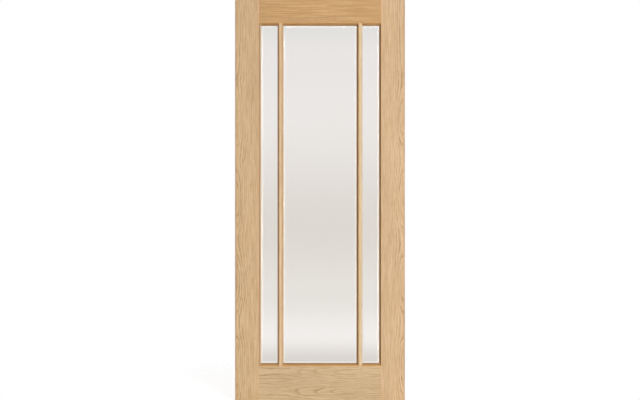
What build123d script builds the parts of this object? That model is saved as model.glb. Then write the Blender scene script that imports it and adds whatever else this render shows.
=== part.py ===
"""Glazed interior door leaf: oak-faced stiles and rails round three upright lights of bevelled glass.

Millimetres, +Z up. The origin is at the foot of the hinge edge, midway through the leaf's thickness.
+X crosses the leaf to the lock edge, and the front face looks along -Y.
"""

import os

from build123d import *

# Leaf
LEAF_WIDTH = 838.0
LEAF_HEIGHT = 1981.0
LEAF_THICKNESS = 35.0

# Frame members, by the width that shows on the face
STILE_WIDTH = 118.0
TOP_RAIL_HEIGHT = 118.0
BOTTOM_RAIL_HEIGHT = 173.0
BAR_WIDTH = 11.0
SIDE_LIGHT_WIDTH = 100.0  # opening between a stile and its nearest glazing bar

# Make-up of the stiles and rails
VENEER_THICKNESS = 3.0  # oak veneer on its backing board
OUTER_LIPPING = 8.0
INNER_LIPPING = 7.0  # round the glazed opening
ARRIS_RADIUS = 1.0

# Glass
GLASS_THICKNESS = 6.0
GLASS_EDGE_GAP = 2.0  # all round, between a pane and its opening
BEVEL_WIDTH = 16.0
BEVEL_DEPTH = 1.6

# Glazing beads
BEAD_WIDTH = 9.0
BEAD_SETBACK = 1.0  # below the face of the leaf
BEAD_LAND = 0.8  # flat along the opening before the splay starts
BEAD_NOSE = 4.0  # upright edge that stands on the glass
BEAD_CROWN = 1.8  # rise of the rounded front over a straight splay

# Levels that the pieces share
FRONT_FACE = -LEAF_THICKNESS / 2
BACK_FACE = LEAF_THICKNESS / 2
OPENING_LEFT = STILE_WIDTH
OPENING_RIGHT = LEAF_WIDTH - STILE_WIDTH
OPENING_BOTTOM = BOTTOM_RAIL_HEIGHT
OPENING_TOP = LEAF_HEIGHT - TOP_RAIL_HEIGHT
LEFT_BAR_X = OPENING_LEFT + SIDE_LIGHT_WIDTH
RIGHT_BAR_X = OPENING_RIGHT - SIDE_LIGHT_WIDTH - BAR_WIDTH

LEAF_DEPTH = (FRONT_FACE, BACK_FACE)
LEAF_RISE = (0.0, LEAF_HEIGHT)
OPENING_RISE = (OPENING_BOTTOM, OPENING_TOP)
OPENING_RUN = (OPENING_LEFT, OPENING_RIGHT)

# The three lights, each as its span across the leaf
LIGHTS = {
    "left": (OPENING_LEFT, LEFT_BAR_X),
    "centre": (LEFT_BAR_X + BAR_WIDTH, RIGHT_BAR_X),
    "right": (RIGHT_BAR_X + BAR_WIDTH, OPENING_RIGHT),
}

# The glass is midway through the leaf, with its bevel to the front. A front bead stands on the bevel at the
# sight line, and a back bead on the flat back of the pane.
GLASS_FRONT = -GLASS_THICKNESS / 2
GLASS_BACK = GLASS_THICKNESS / 2
EDGE_COVER = BEAD_WIDTH - GLASS_EDGE_GAP
BEVEL_AT_SIGHT_LINE = BEVEL_DEPTH * (1 - EDGE_COVER / BEVEL_WIDTH)
FRONT_BEAD_SEAT = GLASS_FRONT + BEVEL_AT_SIGHT_LINE - FRONT_FACE
BACK_BEAD_SEAT = BACK_FACE - GLASS_BACK


def block(x_span, y_span, z_span):
    """A square-edged piece between three pairs of levels."""
    low, high = zip(x_span, y_span, z_span)
    size = Vector(high) - Vector(low)
    return Pos(*low) * Box(*size, align=(Align.MIN, Align.MIN, Align.MIN))


def faced_panel(name, x_span, z_span):
    """A core board with a veneered facing on its front and back."""
    core_front = FRONT_FACE + VENEER_THICKNESS
    core_back = BACK_FACE - VENEER_THICKNESS
    return {
        f"{name}_core": block(x_span, (core_front, core_back), z_span),
        f"{name}_front_veneer": block(x_span, (FRONT_FACE, core_front), z_span),
        f"{name}_back_veneer": block(x_span, (core_back, BACK_FACE), z_span),
    }


def stile(name, outer_x, inward):
    """A full-height stile. inward is +1 where the leaf lies towards +X of its outer edge, and -1 otherwise."""

    def span(start, end):
        return sorted((outer_x + inward * start, outer_x + inward * end))

    panel_end = STILE_WIDTH - INNER_LIPPING
    outer = block(span(0, OUTER_LIPPING), LEAF_DEPTH, LEAF_RISE)
    outer_arrises = outer.edges().filter_by(Axis.Z).sort_by(Axis((0, 0, 0), (inward, 0, 0)))[:2]
    return {
        **faced_panel(name, span(OUTER_LIPPING, panel_end), LEAF_RISE),
        f"{name}_outer_lipping": fillet(outer_arrises, ARRIS_RADIUS),
        f"{name}_inner_lipping": block(span(panel_end, STILE_WIDTH), LEAF_DEPTH, LEAF_RISE),
    }


def rails():
    """The two rails between the stiles, each lipped along the edge that faces the glass."""
    top_panel = (OPENING_TOP + INNER_LIPPING, LEAF_HEIGHT)
    bottom_panel = (0, OPENING_BOTTOM - INNER_LIPPING)
    return {
        **faced_panel("top_rail", OPENING_RUN, top_panel),
        "top_rail_lipping": block(OPENING_RUN, LEAF_DEPTH, (OPENING_TOP, top_panel[0])),
        **faced_panel("bottom_rail", OPENING_RUN, bottom_panel),
        "bottom_rail_lipping": block(OPENING_RUN, LEAF_DEPTH, (bottom_panel[1], OPENING_BOTTOM)),
    }


def glazing_bar(x):
    """A solid upright between the rails, with its four long arrises eased."""
    bar = block((x, x + BAR_WIDTH), LEAF_DEPTH, OPENING_RISE)
    return fillet(bar.edges().filter_by(Axis.Z), ARRIS_RADIUS)


def pane(x_span):
    """A sheet of glass with a wide shallow bevel ground round its front face."""
    sheet = block(
        (x_span[0] + GLASS_EDGE_GAP, x_span[1] - GLASS_EDGE_GAP),
        (GLASS_FRONT, GLASS_BACK),
        (OPENING_BOTTOM + GLASS_EDGE_GAP, OPENING_TOP - GLASS_EDGE_GAP),
    )
    front = sheet.faces().sort_by(Axis.Y)[0]
    return chamfer(front.edges(), BEVEL_WIDTH, BEVEL_DEPTH, reference=front)


def bead_section(seat):
    """The bead's section: X runs from the opening's side to the sight line, Y down from the face to seat."""
    land = (BEAD_LAND, BEAD_SETBACK)
    nose = (BEAD_WIDTH, seat - BEAD_NOSE)
    outline = [
        Polyline(land, (0, BEAD_SETBACK), (0, seat), (BEAD_WIDTH, seat), nose),
        SagittaArc(nose, land, BEAD_CROWN),
    ]
    return make_face(outline)


def mitred_bead(start, end, depth, section):
    """A bead from one corner of an opening to the next, cut to a mitre at both ends."""
    run = (end - start).normalized()
    inward = depth.cross(run)
    bead = extrude(Plane(start, x_dir=inward, z_dir=run) * section, (end - start).length)
    for corner, along in ((start, run), (end, -run)):
        bead = split(bead, Plane(corner, z_dir=along - inward), Keep.TOP)
    return bead


def light_beads(x_span, face, depth, section):
    """The four mitred beads of one light on one face, by the side of the light that they line."""
    (left, right), (bottom, top) = x_span, OPENING_RISE
    corners = [Vector(x, face, z) for x, z in ((left, bottom), (left, top), (right, top), (right, bottom))]
    sides = ["left", "top", "right", "bottom"]
    if depth.Y < 0:
        corners = [corners[0], *reversed(corners[1:])]
        sides = list(reversed(sides))
    ends = [*corners[1:], corners[0]]
    return {
        side: mitred_bead(start, end, depth, section)
        for side, start, end in zip(sides, corners, ends)
    }


def face_beads(name, face, depth, seat):
    """All the beads on one face of the leaf, gathered by the frame member that carries them."""
    section = bead_section(seat)
    beads = {light: light_beads(span, face, depth, section) for light, span in LIGHTS.items()}
    carried = {
        "left_stile": [beads["left"]["left"]],
        "right_stile": [beads["right"]["right"]],
        "left_bar": [beads["left"]["right"], beads["centre"]["left"]],
        "right_bar": [beads["centre"]["right"], beads["right"]["left"]],
        "top_rail": [light["top"] for light in beads.values()],
        "bottom_rail": [light["bottom"] for light in beads.values()],
    }
    return {
        f"{carrier}_{name}_bead{'s' if len(pieces) > 1 else ''}": Compound(pieces)
        for carrier, pieces in carried.items()
    }


def door_leaf():
    """Every piece of the leaf, by name."""
    return {
        **stile("left_stile", 0, 1),
        **stile("right_stile", LEAF_WIDTH, -1),
        **rails(),
        "left_glazing_bar": glazing_bar(LEFT_BAR_X),
        "right_glazing_bar": glazing_bar(RIGHT_BAR_X),
        **{f"{light}_glass": pane(span) for light, span in LIGHTS.items()},
        **face_beads("front", FRONT_FACE, Vector(0, 1, 0), FRONT_BEAD_SEAT),
        **face_beads("back", BACK_FACE, Vector(0, -1, 0), BACK_BEAD_SEAT),
    }


os.makedirs("parts", exist_ok=True)
for node, piece in door_leaf().items():
    export_step(piece, f"parts/{node}.step")
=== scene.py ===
"""The looks of a glazed interior door leaf: lacquered oak round three upright lights of bevelled glass.

Lengths are in metres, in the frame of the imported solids: +X crosses the leaf from the hinge edge to the lock
edge, +Z is up, and the front face looks along -Y.
"""

import logging
import math
from dataclasses import astuple, dataclass, replace
from enum import Enum
from typing import Any

import bpy
from bpy.types import Material, Node, NodeSocket, NodeTree
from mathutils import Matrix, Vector


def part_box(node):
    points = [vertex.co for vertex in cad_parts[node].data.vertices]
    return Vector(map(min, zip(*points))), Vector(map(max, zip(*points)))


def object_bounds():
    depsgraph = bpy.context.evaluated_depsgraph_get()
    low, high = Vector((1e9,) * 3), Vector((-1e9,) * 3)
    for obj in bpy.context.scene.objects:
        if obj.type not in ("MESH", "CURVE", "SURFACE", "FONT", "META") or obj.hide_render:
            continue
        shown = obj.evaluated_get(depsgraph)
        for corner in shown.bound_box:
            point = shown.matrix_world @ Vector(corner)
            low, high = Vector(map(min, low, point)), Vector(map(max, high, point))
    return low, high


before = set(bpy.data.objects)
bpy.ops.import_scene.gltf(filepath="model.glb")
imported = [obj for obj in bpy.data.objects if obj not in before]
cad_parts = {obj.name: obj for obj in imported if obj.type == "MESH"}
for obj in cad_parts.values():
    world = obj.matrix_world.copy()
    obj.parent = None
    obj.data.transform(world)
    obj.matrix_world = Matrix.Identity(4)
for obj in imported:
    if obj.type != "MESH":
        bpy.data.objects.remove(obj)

CAD_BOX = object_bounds()
MM = 0.001
IMAGE_WIDTH = 640  # pixels

# A Mix node's sockets share their names, so its factor and its two colours go by number.
FACTOR, UNDER, OVER = 0, 6, 7

log = logging.getLogger("door")

Colour = tuple[float, float, float, float]


def linear(hex_colour: str) -> Colour:
    """Turns an sRGB hex colour to linear light.

    Args:
        hex_colour: six hex digits after a hash sign.

    Returns:
        Red, green, blue and an alpha of 1.
    """
    levels = [int(hex_colour[i : i + 2], 16) / 255 for i in (1, 3, 5)]
    red, green, blue = (c / 12.92 if c <= 0.04045 else ((c + 0.055) / 1.055) ** 2.4 for c in levels)
    return red, green, blue, 1.0


def add_node(tree: NodeTree, kind: str, inputs: dict[str | int, Any] | None = None, **settings: Any) -> Node:
    """Adds one node with its settings, its constants and its incoming links.

    Args:
        tree: the node tree that takes the node.
        kind: the node's type.
        inputs: by socket name or number, a constant, or the socket or node that feeds it. A node feeds it
            from the first output that its settings leave in use.
        settings: properties of the node.

    Returns:
        The new node.
    """
    node = tree.nodes.new(kind)
    for name, value in settings.items():
        setattr(node, name, value)
    for socket, value in (inputs or {}).items():
        if isinstance(value, Node):
            value = next(output for output in value.outputs if output.enabled)
        if isinstance(value, NodeSocket):
            tree.links.new(value, node.inputs[socket])
        else:
            node.inputs[socket].default_value = value
    return node


def new_material(name: str) -> tuple[Material, NodeTree]:
    """Makes an empty material.

    Args:
        name: what the material is called.

    Returns:
        The material and its cleared node tree.
    """
    material = bpy.data.materials.new(name)
    material.use_nodes = True
    material.node_tree.nodes.clear()
    return material, material.node_tree


def dress(node: str, material: Material) -> None:
    """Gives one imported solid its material.

    Args:
        node: the solid's name.
        material: the finish that covers it.
    """
    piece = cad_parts[node]
    piece.data.materials.clear()
    piece.data.materials.append(material)
    log.info("%s: %s", node, material.name)


class Face(Enum):
    """The two faces of the leaf."""

    FRONT = "front"
    BACK = "back"


class Light(Enum):
    """The three upright lights between the stiles."""

    LEFT = "left"
    CENTRE = "centre"
    RIGHT = "right"


class Grain(Enum):
    """The way that the grain runs, as the frame's axes across and along it on the face."""

    UPRIGHT = ("X", "Z")
    ACROSS = ("Z", "X")


@dataclass(frozen=True)
class OakTone:
    """The colours that one board shows under clear lacquer."""

    ground: str
    late: str  # pale late wood
    early: str  # brown early wood
    pore: str  # open pores, which start each ring


@dataclass(frozen=True)
class OakFigure:
    """How the rings of the log meet the face of one board."""

    heart: float  # place across the grain that the log's heart ran under
    depth: float  # how far under the face it ran, on average
    swing: float = 0.0  # its rise and fall along the board
    wave: float = 0.43  # length of one rise and fall
    nearest: float = 0.0  # a place along the board where it came nearest
    level_from: float = 9.0  # place along the board from which it ran level, beyond the board by default
    level_over: float = 0.3  # length before that place over which its rise and fall died out
    drift: float = 0.0  # change of depth between the next two places along the board
    drift_from: float = 0.0
    drift_to: float = 1.0
    leaf_joint: float = -1.0  # place across the grain where two matched leaves meet, off the board by default
    strength: float = 0.5  # how dark the pores that start each ring show
    ring: float = 14.0 * MM  # drawn at several times a real ring's width, to show at the photograph's scale
    narrow: float = 1.0  # how much narrower its arches are than round rings would give
    ripple: float = 1.0  # how far the rings wave, in rings
    stray: float = 22.0 * MM  # how far the heart strays sideways
    uneven: float = 8.0 * MM  # how far it strays in depth
    streak_length: float = 110.0 * MM
    streak_strength: float = 0.55


# Straight grain, cut far to the side of the heart
STRAIGHT = OakFigure(heart=-0.4, depth=0.5, strength=0.25)

# Arches one above the other, cut close over the heart
CROWN_CUT = OakFigure(
    heart=0.0,
    depth=14.0 * MM,
    swing=13.0 * MM,
    wave=0.41,
    nearest=0.17,
    level_from=1.75,
    strength=0.66,
    ring=10.0 * MM,
    streak_length=80.0 * MM,
)


@dataclass(frozen=True)
class GrainNoise:
    """Noise in patches that are drawn out along the grain."""

    width: float
    length: float
    detail: float  # octaves of finer noise
    shift: float  # sets it apart from the board's others


# Pores are drawn at many times the width of real ones, to show at the photograph's scale.
PORES = GrainNoise(width=3.5 * MM, length=32.0 * MM, detail=1.0, shift=2.0)
CLOUDS = GrainNoise(width=60.0 * MM, length=500.0 * MM, detail=2.0, shift=3.0)
HEART_STRAY = GrainNoise(width=110.0 * MM, length=330.0 * MM, detail=1.0, shift=4.0)
RING_RIPPLE = GrainNoise(width=12.0 * MM, length=110.0 * MM, detail=2.0, shift=5.0)
RING_PATCHES = GrainNoise(width=26.0 * MM, length=150.0 * MM, detail=1.0, shift=6.0)

# Where the parts of one ring lie, as shares of its width
EARLY_BROWNEST = 0.10
EARLY_END = 0.36
LATE_START = 0.5
LATE_PALEST = 0.9

# How strongly the rings show near the heart and away from it, and how far to its side each of these reaches
BOLD = 1.5
BOLD_UP_TO = 25.0 * MM
FAINT = 0.35
FAINT_FROM = 65.0 * MM


@dataclass(frozen=True)
class LacqueredOak:
    """Oak, sliced or planed, sanded and sprayed with satin lacquer.

    The eye gets brown lines of early wood, arched where the cut is crown and straight where it is quartered,
    pale streaks between them, short dark pores along the grain, and a soft sheen.
    """

    name: str
    tone: OakTone
    grain: Grain
    figure: OakFigure
    seed: float
    far_tone: OakTone | None = None  # colours from the next place on, where a bead is made paler or darker as painted light and painted shade
    far_from: float = 0.0  # that place, across the grain
    streak: float = 4.8 * MM  # drawn at several times the width of real ones, to show
    pale_streak: float = 0.7  # how near a streak comes to the late wood's colour
    dash: float = 0.3  # how dark the pores outside the rings show
    roughness: float = 0.42  # of the lacquer
    open_roughness: float = 0.56  # where open grain breaks it
    pore_depth: float = 0.15 * MM
    relief: float = 0.4  # how strongly that depth shows under the lacquer

    def material(self) -> Material:
        """Builds the finish from the board's own figure.

        Returns:
            The new material.
        """
        material, tree = new_material(self.name)
        place = add_node(tree, "ShaderNodeTexCoord").outputs["Object"]
        axes = add_node(tree, "ShaderNodeSeparateXYZ", {"Vector": place})
        across, along = (axes.outputs[axis] for axis in self.grain.value)
        board = add_node(tree, "ShaderNodeCombineXYZ", {"X": across, "Y": axes.outputs["Y"], "Z": along})

        pores = self._noise(tree, board, PORES)
        rings, late_wood = self._rings(tree, board, across, along, pores)
        streak = GrainNoise(self.streak, self.figure.streak_length, detail=3.0, shift=1.0)
        streaks = self._noise(tree, board, streak)
        clouds = self._noise(tree, board, CLOUDS)

        # The noise lies around 0.5, and each mark takes its upper or its lower part.
        pale = add_node(
            tree,
            "ShaderNodeMapRange",
            {"Value": streaks, "From Min": 0.53, "From Max": 0.66, "To Max": self.pale_streak},
        )
        pale = add_node(tree, "ShaderNodeMath", {0: pale, 1: late_wood}, operation="MAXIMUM")
        brown = add_node(
            tree,
            "ShaderNodeMapRange",
            {"Value": streaks, "From Min": 0.50, "From Max": 0.28, "To Max": self.figure.streak_strength},
        )
        dash = add_node(
            tree,
            "ShaderNodeMapRange",
            {"Value": pores, "From Min": 0.58, "From Max": 0.74, "To Max": self.dash},
        )
        light = add_node(
            tree,
            "ShaderNodeMapRange",
            {"Value": clouds, "From Min": 0.25, "From Max": 0.75, "To Min": 0.94, "To Max": 1.06},
        )

        mixed, late, early, pore = self._colours(tree, across)
        for share, colour in ((pale, late), (brown, early), (rings, pore), (dash, pore)):
            layers = {FACTOR: share, UNDER: mixed, OVER: colour}
            mixed = add_node(tree, "ShaderNodeMix", layers, data_type="RGBA")
        shaded = add_node(tree, "ShaderNodeVectorMath", {0: mixed, "Scale": light}, operation="SCALE")

        open_grain = add_node(tree, "ShaderNodeMath", {0: rings, 1: dash}, operation="MAXIMUM")
        bump = add_node(
            tree,
            "ShaderNodeBump",
            {"Height": open_grain, "Distance": self.pore_depth, "Strength": self.relief},
            invert=True,
        )
        gloss = add_node(
            tree,
            "ShaderNodeMapRange",
            {"Value": open_grain, "To Min": self.roughness, "To Max": self.open_roughness},
        )
        wood = add_node(
            tree, "ShaderNodeBsdfPrincipled", {"Base Color": shaded, "Roughness": gloss, "Normal": bump}
        )
        add_node(tree, "ShaderNodeOutputMaterial", {"Surface": wood})
        return material

    def _colours(self, tree: NodeTree, across: NodeSocket) -> list[Colour | Node]:
        """Gives the tone's four colours, changed to the far tone's from where that one starts.

        Args:
            tree: the material's nodes.
            across: place across the grain.

        Returns:
            Ground, late wood, early wood and pores.
        """
        near = [linear(colour) for colour in astuple(self.tone)]
        if self.far_tone is None:
            return near
        beyond = add_node(tree, "ShaderNodeMath", {0: across, 1: self.far_from}, operation="GREATER_THAN")
        far = [linear(colour) for colour in astuple(self.far_tone)]
        return [
            add_node(tree, "ShaderNodeMix", {FACTOR: beyond, UNDER: here, OVER: there}, data_type="RGBA")
            for here, there in zip(near, far)
        ]

    def _noise(self, tree: NodeTree, board: Node, noise: GrainNoise) -> Node:
        """Adds noise drawn out along the grain.

        Args:
            tree: the material's nodes.
            board: place on the board, as across, through and along.
            noise: size and detail of its patches.

        Returns:
            The noise, around 0.5.
        """
        scale = (1 / noise.width, 1 / noise.width, 1 / noise.length)
        shift = (self.seed, noise.shift, self.seed)
        scaled = add_node(
            tree, "ShaderNodeVectorMath", {0: board, 1: scale, 2: shift}, operation="MULTIPLY_ADD"
        )
        return add_node(tree, "ShaderNodeTexNoise", {"Vector": scaled, "Scale": 1.0, "Detail": noise.detail})

    def _heart(self, tree: NodeTree, board: Node, across: NodeSocket, along: NodeSocket) -> tuple[Node, Node]:
        """Finds where the log's heart ran, seen from each place on the board.

        Args:
            tree: the material's nodes.
            board: place on the board, as across, through and along.
            across: place across the grain.
            along: place along it.

        Returns:
            How far the place is to the side of the heart, and how far under the face the heart is.
        """
        figure = self.figure
        stray = self._noise(tree, board, HEART_STRAY)
        leaf = add_node(tree, "ShaderNodeMath", {0: across, 1: figure.leaf_joint}, operation="SUBTRACT")
        leaf = add_node(tree, "ShaderNodeMath", {0: leaf}, operation="ABSOLUTE")
        heart = abs(figure.heart - figure.leaf_joint)
        bent = add_node(
            tree,
            "ShaderNodeMath",
            {0: stray, 1: figure.stray, 2: -figure.stray / 2 - heart},
            operation="MULTIPLY_ADD",
        )
        sideways = add_node(tree, "ShaderNodeMath", {0: leaf, 1: bent}, operation="ADD")

        turn = 2 * math.pi / figure.wave
        angle = add_node(
            tree, "ShaderNodeMath", {0: along, 1: turn, 2: -turn * figure.nearest}, operation="MULTIPLY_ADD"
        )
        rise = add_node(tree, "ShaderNodeMath", {0: angle}, operation="COSINE")
        swing = add_node(
            tree,
            "ShaderNodeMapRange",
            {
                "Value": along,
                "From Min": figure.level_from - figure.level_over,
                "From Max": figure.level_from,
                "To Min": -figure.swing,
                "To Max": 0.0,
            },
        )
        depth = add_node(
            tree,
            "ShaderNodeMapRange",
            {
                "Value": along,
                "From Min": figure.drift_from,
                "From Max": figure.drift_to,
                "To Min": figure.depth,
                "To Max": figure.depth + figure.drift,
            },
        )
        under = add_node(tree, "ShaderNodeMath", {0: rise, 1: swing, 2: depth}, operation="MULTIPLY_ADD")
        under = add_node(
            tree, "ShaderNodeMath", {0: stray, 1: figure.uneven, 2: under}, operation="MULTIPLY_ADD"
        )
        return sideways, under

    def _rings(
        self, tree: NodeTree, board: Node, across: NodeSocket, along: NodeSocket, pores: Node
    ) -> tuple[Node, Node]:
        """Adds the annual rings, cut by the face at the board's own distance from the heart.

        Args:
            tree: the material's nodes.
            board: place on the board, as across, through and along.
            across: place across the grain.
            along: place along it.
            pores: noise that breaks the early wood into short dashes.

        Returns:
            How brown the early wood is, and how pale the late wood, each from 0 to about the figure's
            strength.
        """
        figure = self.figure
        sideways, under = self._heart(tree, board, across, along)
        arch = add_node(tree, "ShaderNodeMath", {0: sideways, 1: figure.narrow}, operation="MULTIPLY")
        offset = add_node(tree, "ShaderNodeCombineXYZ", {"X": arch, "Y": under})
        radius = add_node(tree, "ShaderNodeVectorMath", {0: offset}, operation="LENGTH")
        ripple = self._noise(tree, board, RING_RIPPLE)
        waved = add_node(tree, "ShaderNodeMath", {0: ripple, 1: figure.ripple}, operation="MULTIPLY")
        count = add_node(
            tree, "ShaderNodeMath", {0: radius, 1: 1 / figure.ring, 2: waved}, operation="MULTIPLY_ADD"
        )
        within = add_node(tree, "ShaderNodeMath", {0: count}, operation="FRACT")

        # The rings are boldest over the heart, where the cut is flattest, and come and go along the board.
        aside = add_node(tree, "ShaderNodeMath", {0: sideways}, operation="ABSOLUTE")
        bold = add_node(
            tree,
            "ShaderNodeMapRange",
            {
                "Value": aside,
                "From Min": BOLD_UP_TO,
                "From Max": FAINT_FROM,
                "To Min": BOLD,
                "To Max": FAINT,
            },
        )
        patches = self._noise(tree, board, RING_PATCHES)
        shown = add_node(
            tree,
            "ShaderNodeMapRange",
            {"Value": patches, "From Min": 0.3, "From Max": 0.65, "To Min": FAINT, "To Max": bold},
        )

        # Each ring starts sharply with brown early wood, which fades out, and pores break it into dashes.
        start = add_node(
            tree,
            "ShaderNodeMapRange",
            {"Value": within, "From Max": EARLY_BROWNEST, "To Max": figure.strength},
        )
        fade = add_node(
            tree,
            "ShaderNodeMapRange",
            {
                "Value": within,
                "From Min": EARLY_BROWNEST,
                "From Max": EARLY_END,
                "To Min": 1.0,
                "To Max": 0.0,
            },
            interpolation_type="SMOOTHSTEP",
        )
        dashes = add_node(
            tree,
            "ShaderNodeMapRange",
            {"Value": pores, "From Min": 0.38, "From Max": 0.60, "To Min": 0.6, "To Max": 1.1},
        )
        early = fade
        for share in (start, shown, dashes):
            early = add_node(tree, "ShaderNodeMath", {0: early, 1: share}, operation="MULTIPLY")

        # The late wood at the end of a ring is pale, up to the sharp start of the next one.
        late = add_node(
            tree,
            "ShaderNodeMapRange",
            {"Value": within, "From Min": LATE_START, "From Max": LATE_PALEST, "To Max": figure.strength},
            interpolation_type="SMOOTHSTEP",
        )
        late = add_node(tree, "ShaderNodeMath", {0: late, 1: shown}, operation="MULTIPLY")
        return early, late


@dataclass(frozen=True)
class SoftwoodStaves:
    """Softwood staves, sawn and glued side by side into a core board.

    The eye gets strips of slightly different straw colour, with a glue line between them, and on a sawn end
    the curved rings of each strip.
    """

    name: str
    grain: Grain
    pale: str = "#DCC08E"
    brown: str = "#B58A55"
    glue: str = "#8E6B42"
    stave: float = 34.0 * MM
    first: float = 0.37  # how much of a stave lies before the board's zero
    ring: float = 3.2 * MM
    fibre: float = 4.5 * MM  # drawn at many times the width of real fibres, to show at the photograph's scale
    fibre_length: float = 125.0 * MM
    fibre_depth: float = 0.3 * MM
    relief: float = 0.5  # how strongly that depth shows
    late_from: float = 0.35  # share of a ring at which it starts to brown
    late_strength: float = 0.75
    glue_from: float = 0.47  # edges of a glue line, in staves from the middle of a stave
    glue_full: float = 0.49
    glue_strength: float = 0.8
    darkest: float = 0.86  # how far the staves differ in lightness
    lightest: float = 1.06
    least_rough: float = 0.66
    most_rough: float = 0.82
    # Where the heart of a stave lies: across in staves, and through in metres, at the least and beyond that
    heart_least: tuple[float, float, float] = (-0.7, 0.03, 0.0)
    heart_range: tuple[float, float, float] = (2.4, 0.08, 0.0)

    def material(self) -> Material:
        """Builds the finish, stave by stave across the grain.

        Returns:
            The new material.
        """
        material, tree = new_material(self.name)
        place = add_node(tree, "ShaderNodeTexCoord").outputs["Object"]
        axes = add_node(tree, "ShaderNodeSeparateXYZ", {"Vector": place})
        across, along = (axes.outputs[axis] for axis in self.grain.value)
        board = add_node(tree, "ShaderNodeCombineXYZ", {"X": across, "Y": axes.outputs["Y"], "Z": along})
        per_fibre = (1 / self.fibre, 1 / self.fibre, 1 / self.fibre_length)
        drawn = add_node(tree, "ShaderNodeVectorMath", {0: board, 1: per_fibre}, operation="MULTIPLY")
        fibre = add_node(tree, "ShaderNodeTexNoise", {"Vector": drawn, "Scale": 1.0, "Detail": 3.0})

        count = add_node(
            tree, "ShaderNodeMath", {0: across, 1: 1 / self.stave, 2: self.first}, operation="MULTIPLY_ADD"
        )
        number = add_node(tree, "ShaderNodeMath", {0: count}, operation="FLOOR")
        within = add_node(tree, "ShaderNodeMath", {0: count}, operation="FRACT")
        chance = add_node(tree, "ShaderNodeTexWhiteNoise", {"W": number}, noise_dimensions="1D")
        tint = add_node(
            tree,
            "ShaderNodeMapRange",
            {"Value": chance.outputs["Value"], "To Min": self.darkest, "To Max": self.lightest},
        )
        late = self._late_wood(tree, within, axes.outputs["Y"], chance.outputs["Color"], fibre)
        edge = add_node(tree, "ShaderNodeMath", {0: within, 1: 0.5}, operation="SUBTRACT")
        edge = add_node(tree, "ShaderNodeMath", {0: edge}, operation="ABSOLUTE")
        joint = add_node(
            tree,
            "ShaderNodeMapRange",
            {
                "Value": edge,
                "From Min": self.glue_from,
                "From Max": self.glue_full,
                "To Max": self.glue_strength,
            },
        )

        mixed = linear(self.pale)
        for share, colour in ((late, self.brown), (joint, self.glue)):
            mixed = add_node(
                tree, "ShaderNodeMix", {FACTOR: share, UNDER: mixed, OVER: linear(colour)}, data_type="RGBA"
            )
        shaded = add_node(tree, "ShaderNodeVectorMath", {0: mixed, "Scale": tint}, operation="SCALE")
        bump = add_node(
            tree, "ShaderNodeBump", {"Height": fibre, "Distance": self.fibre_depth, "Strength": self.relief}
        )
        rough = add_node(
            tree,
            "ShaderNodeMapRange",
            {"Value": fibre, "To Min": self.least_rough, "To Max": self.most_rough},
        )
        wood = add_node(
            tree, "ShaderNodeBsdfPrincipled", {"Base Color": shaded, "Roughness": rough, "Normal": bump}
        )
        add_node(tree, "ShaderNodeOutputMaterial", {"Surface": wood})
        return material

    def _late_wood(
        self, tree: NodeTree, within: Node, through: NodeSocket, chance: NodeSocket, fibre: Node
    ) -> Node:
        """Adds the rings of each stave, round a heart that lies to one side of it at a depth of its own.

        Args:
            tree: the material's nodes.
            within: place across the stave, from 0 to 1.
            through: place through the board.
            chance: three numbers from 0 to 1 that are the stave's own.
            fibre: noise that frays the rings.

        Returns:
            How brown the late wood is.
        """
        heart = add_node(
            tree,
            "ShaderNodeVectorMath",
            {0: chance, 1: self.heart_range, 2: self.heart_least},
            operation="MULTIPLY_ADD",
        )
        sideways = add_node(tree, "ShaderNodeCombineXYZ", {"X": within})
        sideways = add_node(tree, "ShaderNodeVectorMath", {0: sideways, 1: heart}, operation="SUBTRACT")
        apart = add_node(
            tree, "ShaderNodeVectorMath", {0: sideways, 1: (self.stave, 1.0, 0.0)}, operation="MULTIPLY"
        )
        depth = add_node(tree, "ShaderNodeCombineXYZ", {"Y": through})
        offset = add_node(tree, "ShaderNodeVectorMath", {0: apart, 1: depth}, operation="ADD")
        radius = add_node(tree, "ShaderNodeVectorMath", {0: offset}, operation="LENGTH")
        rings = add_node(
            tree, "ShaderNodeMath", {0: radius, 1: 1 / self.ring, 2: fibre}, operation="MULTIPLY_ADD"
        )
        rings = add_node(tree, "ShaderNodeMath", {0: rings}, operation="FRACT")
        return add_node(
            tree,
            "ShaderNodeMapRange",
            {"Value": rings, "From Min": self.late_from, "To Max": self.late_strength},
            interpolation_type="SMOOTHSTEP",
        )


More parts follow.
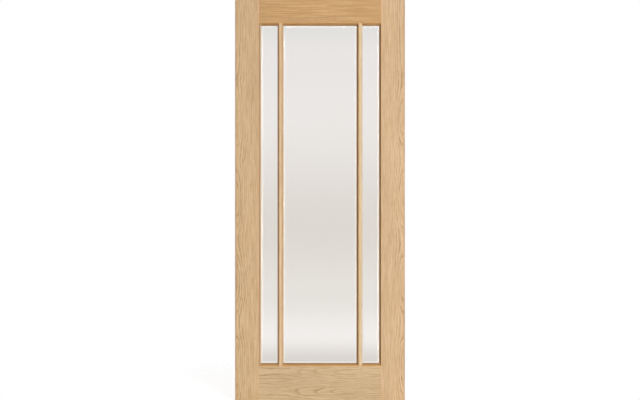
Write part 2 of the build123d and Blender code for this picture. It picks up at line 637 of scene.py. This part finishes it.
@dataclass(frozen=True)
class BevelledFloatGlass:
    """Clear float glass, its bevel ground and smoothed to a satin.

    The eye gets what is behind it, a little grey, faint reflections, and a soft pale line where the bevel
    catches the light.
    """

    name: str = "clear_float_glass_ground_bevel"
    tint: str = "#FBFBFB"
    ior: float = 1.52
    bevel_roughness: float = 0.18
    flat: float = 0.998  # the least that a normal points through the sheet where its surface is flat
    wave: float = 180.0 * MM  # float glass is very slightly wavy
    wave_depth: float = 0.1 * MM
    wave_strength: float = 0.2

    def material(self) -> Material:
        """Builds the finish, with the faint waves of float glass.

        Returns:
            The new material.
        """
        material, tree = new_material(self.name)
        texture = add_node(tree, "ShaderNodeTexCoord")
        waves = add_node(
            tree,
            "ShaderNodeTexNoise",
            {"Vector": texture.outputs["Object"], "Scale": 1 / self.wave, "Detail": 1.0},
        )
        bump = add_node(
            tree,
            "ShaderNodeBump",
            {"Height": waves, "Distance": self.wave_depth, "Strength": self.wave_strength},
        )
        # The bevel is what leans away from the face of the sheet.
        axes = add_node(tree, "ShaderNodeSeparateXYZ", {"Vector": texture.outputs["Normal"]})
        facing = add_node(tree, "ShaderNodeMath", {0: axes.outputs["Y"]}, operation="ABSOLUTE")
        bevel = add_node(tree, "ShaderNodeMath", {0: facing, 1: self.flat}, operation="LESS_THAN")
        rough = add_node(tree, "ShaderNodeMath", {0: bevel, 1: self.bevel_roughness}, operation="MULTIPLY")
        glass = add_node(
            tree,
            "ShaderNodeBsdfPrincipled",
            {
                "Base Color": linear(self.tint),
                "Roughness": rough,
                "IOR": self.ior,
                "Transmission Weight": 1.0,
                "Normal": bump,
            },
        )
        add_node(tree, "ShaderNodeOutputMaterial", {"Surface": glass})
        return material


@dataclass(frozen=True)
class MattWhiteFloor:
    """Matt white paint, rolled on a studio floor.

    The eye gets plain white with a soft grey shadow on it, and no edge, because it fades out at the rim.
    """

    name: str = "matt_white_floor"
    radius: float = 1.05
    fade: float = 0.75  # share of the radius from which it fades out
    paint: str = "#E6E5E3"
    dimmed: str = "#A8A8A8"  # to the eye, the share of its white that a shadow dims
    glow: float = 0.67  # to the eye, the share that no shadow dims

    def material(self, centre: Vector) -> Material:
        """Builds the finish, white to the eye where no shadow falls.

        Args:
            centre: the middle of the floor.

        Returns:
            The new material.
        """
        material, tree = new_material(self.name)
        path = add_node(tree, "ShaderNodeLightPath")
        paint = add_node(tree, "ShaderNodeBsdfDiffuse", {"Color": linear(self.paint)})
        dimmed = add_node(tree, "ShaderNodeBsdfDiffuse", {"Color": linear(self.dimmed)})
        glow = add_node(tree, "ShaderNodeEmission", {"Strength": self.glow})
        white = add_node(tree, "ShaderNodeAddShader", {0: dimmed, 1: glow})
        looked_at = add_node(
            tree,
            "ShaderNodeMath",
            {0: path.outputs["Is Camera Ray"], 1: path.outputs["Is Glossy Ray"]},
            operation="MAXIMUM",
        )
        shown = add_node(tree, "ShaderNodeMixShader", {0: looked_at, 1: paint, 2: white})

        place = add_node(tree, "ShaderNodeTexCoord").outputs["Object"]
        offset = add_node(tree, "ShaderNodeVectorMath", {0: place, 1: centre}, operation="DISTANCE")
        fade = add_node(
            tree,
            "ShaderNodeMapRange",
            {"Value": offset, "From Min": self.fade * self.radius, "From Max": self.radius},
            interpolation_type="SMOOTHSTEP",
        )
        # The glass shows the backdrop's tones down to its foot, as it does in the photograph.
        gone = add_node(
            tree, "ShaderNodeMath", {0: fade, 1: path.outputs["Is Transmission Ray"]}, operation="MAXIMUM"
        )
        clear = add_node(tree, "ShaderNodeBsdfTransparent")
        surface = add_node(tree, "ShaderNodeMixShader", {0: gone, 1: shown, 2: clear})
        add_node(tree, "ShaderNodeOutputMaterial", {"Surface": surface})
        return material


@dataclass
class Stile:
    """An upright side of the frame: core, two veneers, two lippings and its beads."""

    name: str
    heart: float  # place across the leaf that the log's heart ran under
    seed: float
    tone: OakTone  # of the veneers
    edge: LacqueredOak  # finish of the lipping on the leaf's edge
    bead: LacqueredOak  # finish of the glazing beads
    back_shift: float = 0.31  # how far the back's arches lie along the stile from the front's
    back_stretch: float = 0.31 / 3  # how much longer they are
    back_seed: float = 6.2  # sets the back's grain apart from the front's

    def dress(self, lipping: Material) -> None:
        """Gives every piece of the stile its finish.

        Args:
            lipping: finish of the lipping beside the glass.
        """
        dress(f"{self.name}_core", SoftwoodStaves(f"softwood_staves_{self.name}", Grain.UPRIGHT).material())
        bead = self.bead.material()
        for face in Face:
            dress(f"{self.name}_{face.value}_veneer", self._veneer(face).material())
            dress(f"{self.name}_{face.value}_bead", bead)
        dress(f"{self.name}_inner_lipping", lipping)
        dress(f"{self.name}_outer_lipping", self.edge.material())

    def _veneer(self, face: Face) -> LacqueredOak:
        """Gives the finish of one veneer, whose arches differ between the faces.

        Args:
            face: the side of the leaf that it covers.

        Returns:
            The finish.
        """
        figure = replace(CROWN_CUT, heart=self.heart)
        seed = self.seed
        if face is Face.BACK:
            wave, nearest = figure.wave + self.back_stretch, figure.nearest + self.back_shift
            figure = replace(figure, wave=wave, nearest=nearest)
            seed += self.back_seed
        name = f"crown_cut_oak_veneer_{self.name}_{face.value}"
        return LacqueredOak(name, self.tone, Grain.UPRIGHT, figure, seed)


@dataclass
class Rail:
    """A level member between the stiles: core, two veneers, one lipping and its beads."""

    name: str
    figure: OakFigure
    seed: float
    tone: OakTone  # of the veneers
    lipping: LacqueredOak  # finish of the lipping beside the glass
    bead: LacqueredOak  # finish of the glazing beads
    back_seed: float = 7.0  # sets the back's grain apart from the front's

    def dress(self) -> None:
        """Gives every piece of the rail its finish."""
        dress(f"{self.name}_core", SoftwoodStaves(f"softwood_staves_{self.name}", Grain.ACROSS).material())
        bead = self.bead.material()
        for face in Face:
            name = f"crown_cut_oak_veneer_{self.name}_{face.value}"
            seed = self.seed + (self.back_seed if face is Face.BACK else 0.0)
            veneer = LacqueredOak(name, self.tone, Grain.ACROSS, self.figure, seed)
            dress(f"{self.name}_{face.value}_veneer", veneer.material())
            dress(f"{self.name}_{face.value}_beads", bead)
        dress(f"{self.name}_lipping", self.lipping.material())


@dataclass
class GlazingBar:
    """A solid upright between two lights, with the beads on both its sides."""

    name: str
    seed: float
    shaded_left_tone: OakTone  # painted shade: the darker tone of its left beads, which face away from the key lamp
    # painted light: the paler tone of its right beads, which face the key lamp
    lit_right_tone: OakTone

    def dress(self, bar: Material) -> None:
        """Gives the bar and its beads their finish.

        Args:
            bar: finish of the bar.
        """
        node = f"{self.name}_glazing_bar"
        dress(node, bar)
        middle = sum(corner[0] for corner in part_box(node)) / 2
        # Painted shade on the beads left of the bar's middle, painted light on those right of it.
        beads = LacqueredOak(
            f"moulded_oak_beads_{self.name}_bar",
            self.shaded_left_tone,
            Grain.UPRIGHT,
            STRAIGHT,
            self.seed,
            far_tone=self.lit_right_tone,
            far_from=middle,
        ).material()
        for face in Face:
            dress(f"{self.name}_bar_{face.value}_beads", beads)


@dataclass
class Glazing:
    """The three upright panes of glass."""

    finish: BevelledFloatGlass

    def dress(self) -> None:
        """Gives every pane its finish."""
        glass = self.finish.material()
        for light in Light:
            dress(f"{light.value}_glass", glass)


@dataclass(frozen=True)
class Lamp:
    """A soft lamp, aimed at the middle of the leaf."""

    name: str
    place: tuple[float, float, float]  # from the middle of the leaf
    size: tuple[float, float]  # width and height
    power: float  # watts
    tint: str = "#FFFFFF"
    strip: bool = False  # whether it gives only the sheen on the satin bevel and the lacquer

    def build(self, middle: Vector) -> None:
        """Adds the lamp to the scene.

        No lamp is mirrored in the smooth glass or seen through it. A strip is sampled as a lamp alone, so
        that only rough surfaces catch it.

        Args:
            middle: the middle of the leaf.
        """
        data = bpy.data.lights.new(self.name, "AREA")
        data.shape = "RECTANGLE"
        data.size, data.size_y = self.size
        data.energy = self.power
        data.color = linear(self.tint)[:3]
        data.cycles.use_multiple_importance_sampling = not self.strip
        lamp = bpy.data.objects.new(self.name, data)
        lamp.location = middle + Vector(self.place)
        lamp.rotation_euler = (middle - lamp.location).to_track_quat("-Z", "Y").to_euler()
        lamp.visible_glossy = self.strip
        lamp.visible_diffuse = not self.strip
        lamp.visible_transmission = False
        bpy.context.scene.collection.objects.link(lamp)


# Warm, as the pale lines along the bevels are
STRIP_TINT = "#FFE2C0"


@dataclass
class Studio:
    """A white studio: a pale floor, soft lamps, and a level camera square to the front of the leaf."""

    leaf_low: Vector
    leaf_high: Vector
    camera_distance: float = 3.2
    leaf_pixels: float = 170.0  # the leaf's width in the picture
    ambient: float = 0.20
    floor: MattWhiteFloor = MattWhiteFloor()
    floor_steps: int = 96
    floor_gap: float = 0.5 * MM  # under the leaf
    lamps: tuple[Lamp, ...] = (
        Lamp("key", (4.1, -6.1, 0.85), (2.6, 3.4), 474.0),
        Lamp("back", (-4.1, 6.1, 0.6), (2.6, 3.4), 480.0),
        Lamp("overhead", (0.0, 2.2, 4.2), (2.4, 2.4), 110.0),
        Lamp("fill", (-0.44, -5.2, 0.6), (2.6, 2.6), 22.0),
        # The strips stand where the bevels mirror them to the camera.
        Lamp("left_strip", (-1.78, -5.2, 0.0), (0.6, 5.3), 100.0, STRIP_TINT, strip=True),
        Lamp("right_strip", (2.02, -5.2, 0.0), (0.6, 5.3), 115.0, STRIP_TINT, strip=True),
        Lamp("top_strip", (0.0, -5.2, 3.5), (2.6, 0.6), 55.0, STRIP_TINT, strip=True),
    )
    # Height from the leaf's middle at which the camera sees the backdrop through the glass, and its tone
    backdrop: tuple[tuple[float, str], ...] = (
        (-1.12, "#F0EDE8"),
        (-0.81, "#D9D4CD"),
        (-0.67, "#F5F1EE"),
        (-0.47, "#E9E5DF"),
        (-0.14, "#E1DCD5"),
        (0.44, "#EFEBE8"),
        (0.69, "#EDE9E7"),
        (0.89, "#E4E3E0"),
    )

    @property
    def middle(self) -> Vector:
        """The middle of the leaf."""
        return (self.leaf_low + self.leaf_high) / 2

    def build(self) -> None:
        """Sets up the camera, the world, the floor and the lamps."""
        self._camera()
        self._world()
        self._floor()
        for lamp in self.lamps:
            lamp.build(self.middle)

    def _camera(self) -> None:
        """Adds the camera, level with the middle of the leaf and square to its front."""
        data = bpy.data.cameras.new("camera")
        width = (self.leaf_high.x - self.leaf_low.x) * IMAGE_WIDTH / self.leaf_pixels
        data.angle = 2 * math.atan(width / 2 / self.camera_distance)
        camera = bpy.data.objects.new("camera", data)
        camera.location = (self.middle.x, self.leaf_low.y - self.camera_distance, self.middle.z)
        camera.rotation_euler = (math.pi / 2, 0, 0)
        bpy.context.scene.collection.objects.link(camera)
        bpy.context.scene.camera = camera

    def _world(self) -> None:
        """Lights the room evenly, white to the eye, and pale grey in the lacquer and in and through glass."""
        world = bpy.data.worlds.new("studio")
        world.use_nodes = True
        tree = world.node_tree
        tree.nodes.clear()
        path = add_node(tree, "ShaderNodeLightPath")
        place = add_node(tree, "ShaderNodeTexCoord").outputs["Generated"]
        height = add_node(tree, "ShaderNodeSeparateXYZ", {"Vector": place}).outputs["Z"]
        slopes = [math.sin(math.atan(at / self.camera_distance)) for at, _ in self.backdrop]
        low, high = slopes[0], slopes[-1]
        level = add_node(tree, "ShaderNodeMapRange", {"Value": height, "From Min": low, "From Max": high})
        sweep = add_node(tree, "ShaderNodeValToRGB", {0: level})
        ramp = sweep.color_ramp
        ramp.interpolation = "EASE"
        while len(ramp.elements) < len(self.backdrop):
            ramp.elements.new(1.0)
        for element, slope, (_, tone) in zip(ramp.elements, slopes, self.backdrop):
            element.position = (slope - low) / (high - low)
            element.color = linear(tone)

        even = (self.ambient, self.ambient, self.ambient, 1.0)
        mirrored = add_node(
            tree,
            "ShaderNodeMath",
            {0: path.outputs["Is Transmission Ray"], 1: path.outputs["Is Glossy Ray"]},
            operation="MAXIMUM",
        )
        seen = add_node(tree, "ShaderNodeMix", {FACTOR: mirrored, UNDER: even, OVER: sweep}, data_type="RGBA")
        seen = add_node(
            tree,
            "ShaderNodeMix",
            {FACTOR: path.outputs["Is Camera Ray"], UNDER: seen, OVER: linear("#FFFFFF")},
            data_type="RGBA",
        )
        light = add_node(tree, "ShaderNodeBackground", {"Color": seen})
        add_node(tree, "ShaderNodeOutputWorld", {"Surface": light})
        bpy.context.scene.world = world

    def _floor(self) -> None:
        """Adds a round pale floor under the leaf."""
        centre = Vector((self.middle.x, self.middle.y, self.leaf_low.z))
        turns = [2 * math.pi * i / self.floor_steps for i in range(self.floor_steps)]
        rim = [
            (
                centre.x + self.floor.radius * math.cos(turn),
                centre.y + self.floor.radius * math.sin(turn),
                centre.z - self.floor_gap,
            )
            for turn in turns
        ]
        mesh = bpy.data.meshes.new("floor")
        mesh.from_pydata(rim, [], [list(range(self.floor_steps))])
        mesh.materials.append(self.floor.material(centre))
        floor = bpy.data.objects.new("floor", mesh)
        bpy.context.scene.collection.objects.link(floor)


def stiles() -> list[Stile]:
    """Gives the two stiles, whose beads have painted shade beside the lipping and painted light along the
    nose.

    Returns:
        The left and the right stile.
    """
    left = Stile(
        "left_stile",
        heart=0.004,
        seed=21.0,
        tone=OakTone("#CEAC81", "#DDC096", "#B38B5D", "#966A3D"),
        edge=LacqueredOak(
            "planed_oak_leaf_edge_left",
            OakTone("#BF9F7C", "#CDAF8D", "#A3805A", "#866646"),
            Grain.UPRIGHT,
            STRAIGHT,
            seed=13.0,
        ),
        # Painted shade: darker beside the lipping, up to far_from; painted light: paler along the nose beyond
        # it.
        bead=LacqueredOak(
            "moulded_oak_bead_left",
            OakTone("#A4835D", "#B0916C", "#886746", "#705337"),
            Grain.UPRIGHT,
            STRAIGHT,
            seed=14.0,
            far_tone=OakTone("#CBB091", "#D6BC9F", "#AE9374", "#937858"),
            far_from=0.1232,
        ),
    )
    right = Stile(
        "right_stile",
        heart=0.834,
        seed=22.0,
        tone=OakTone("#CDAC83", "#DBBC96", "#B48E65", "#9A7049"),
        edge=LacqueredOak(
            "planed_oak_leaf_edge_right",
            OakTone("#C4A586", "#D3B597", "#A98664", "#8B6B4E"),
            Grain.UPRIGHT,
            STRAIGHT,
            seed=13.0,
        ),
        # Painted light: paler along the nose, up to far_from; painted shade: darker beside the lipping beyond
        # it.
        bead=LacqueredOak(
            "moulded_oak_bead_right",
            OakTone("#DCB88C", "#E6C59B", "#BE9768", "#A07B52"),
            Grain.UPRIGHT,
            STRAIGHT,
            seed=19.0,
            far_tone=OakTone("#845E30", "#8E683A", "#6C4821", "#59371A"),
            far_from=0.7147,
        ),
    )
    return [left, right]


def rails() -> list[Rail]:
    """Gives the two rails: straight grain and painted light along the nose of its beads above, crown-cut grain
    below.

    Returns:
        The top and the bottom rail.
    """
    top_tone = OakTone("#C29762", "#D2AB7B", "#AB7D4A", "#8B6434")
    bead_tone = OakTone("#BD8A4E", "#C9985E", "#9F703B", "#855C2C")
    top = Rail(
        "top_rail",
        OakFigure(heart=2.4, depth=0.2, strength=0.25, streak_length=130.0 * MM, streak_strength=0.62),
        seed=31.0,
        tone=top_tone,
        lipping=LacqueredOak("planed_oak_lipping_top", top_tone, Grain.ACROSS, STRAIGHT, seed=17.0),
        # Painted light: the beads' nose, below far_from, is paler than the rest of the bead.
        bead=LacqueredOak(
            "moulded_oak_bead_top",
            OakTone("#DFAE70", "#E8BC83", "#C0915A", "#A27843"),
            Grain.ACROSS,
            STRAIGHT,
            seed=15.0,
            far_tone=bead_tone,
            far_from=1.8552,
        ),
    )
    bottom = Rail(
        "bottom_rail",
        OakFigure(
            heart=0.146,
            depth=46.0 * MM,
            drift=-40.0 * MM,
            drift_from=0.25,
            drift_to=0.54,
            leaf_joint=0.097,
            strength=0.45,
            ring=12.0 * MM,
            narrow=1.3,
            ripple=0.7,
            uneven=14.0 * MM,
            streak_length=70.0 * MM,
        ),
        seed=32.0,
        tone=OakTone("#C9AC84", "#D7BD96", "#B08D61", "#966F44"),
        lipping=LacqueredOak(
            "planed_oak_lipping_level",
            OakTone("#CBA77B", "#D6B88C", "#B08A5B", "#926E44"),
            Grain.ACROSS,
            STRAIGHT,
            seed=12.0,
        ),
        bead=LacqueredOak("moulded_oak_bead_level", bead_tone, Grain.ACROSS, STRAIGHT, seed=15.0),
    )
    return [top, bottom]


def glazing_bars() -> list[GlazingBar]:
    """Gives the two glazing bars, each with painted shade on its left beads and painted light on its right
    beads.

    Returns:
        The left and the right bar.
    """
    left = GlazingBar(
        "left",
        seed=16.0,
        shaded_left_tone=OakTone("#BC9163", "#C9A073", "#9F744A", "#845F39"),
        lit_right_tone=OakTone("#C5A076", "#D2AE87", "#AB815A", "#8C6640"),
    )
    right = GlazingBar(
        "right",
        seed=20.0,
        shaded_left_tone=OakTone("#A3773C", "#B08449", "#865C26", "#6E481A"),
        lit_right_tone=OakTone("#D6BF9D", "#E1CDAE", "#BA9F7D", "#9A7F5E"),
    )
    return [left, right]


def main() -> None:
    """Builds the studio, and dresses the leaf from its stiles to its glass."""
    logging.basicConfig(level=logging.INFO, format="%(name)s: %(message)s")
    bpy.context.scene.view_settings.view_transform = "Standard"
    leaf_low, leaf_high = (Vector(corner) for corner in CAD_BOX)
    Studio(leaf_low, leaf_high).build()

    lipping_tone = OakTone("#D4AD84", "#DDBE98", "#B88F64", "#99724B")
    lipping = LacqueredOak("planed_oak_lipping_upright", lipping_tone, Grain.UPRIGHT, STRAIGHT, seed=11.0)
    lipping_material = lipping.material()
    for stile in stiles():
        stile.dress(lipping_material)
    for rail in rails():
        rail.dress()
    bar_tone = OakTone("#DCBD93", "#E6CAA5", "#C2A070", "#A17E54")
    bar_material = LacqueredOak("planed_oak_bar", bar_tone, Grain.UPRIGHT, STRAIGHT, seed=18.0).material()
    for bar in glazing_bars():
        bar.dress(bar_material)
    Glazing(BevelledFloatGlass()).dress()


if __name__ == "__main__":
    main()
